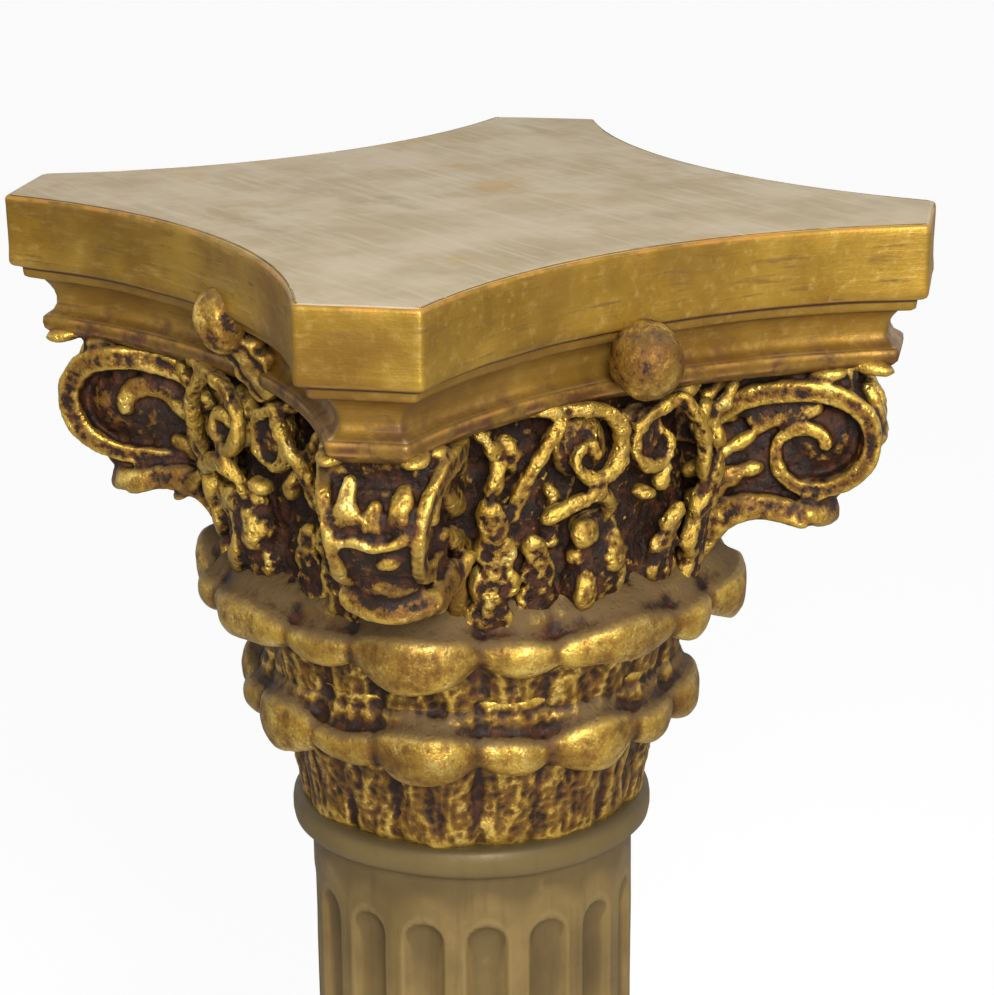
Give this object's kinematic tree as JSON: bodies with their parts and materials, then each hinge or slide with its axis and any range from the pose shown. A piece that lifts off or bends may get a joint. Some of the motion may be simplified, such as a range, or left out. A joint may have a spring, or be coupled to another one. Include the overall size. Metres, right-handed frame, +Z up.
{
  "type": "corinthian pedestal column",
  "caption": "Free-standing gilded resin column with a fluted shaft and a carved Corinthian capital, whose flat concave-sided top carries a plant, lamp or bust.",
  "frame": {"origin": "centre of the plinth's underside", "axes": "+Z up along the shaft; the capital's four horns point along the diagonals of X and Y, and its hollow sides and the plinth's sides face X and Y"},
  "size_m": [0.3, 0.3, 1],
  "materials": {
    "gilded_resin": "worn gold leaf over dark red-brown patina",
    "bronzed_resin": "satin olive-bronze paint"
  },
  "bodies": {
    "root": {"base": "bronzed_resin", "shaft": "bronzed_resin", "capital": "gilded_resin"}
  },
  "joints": []
}
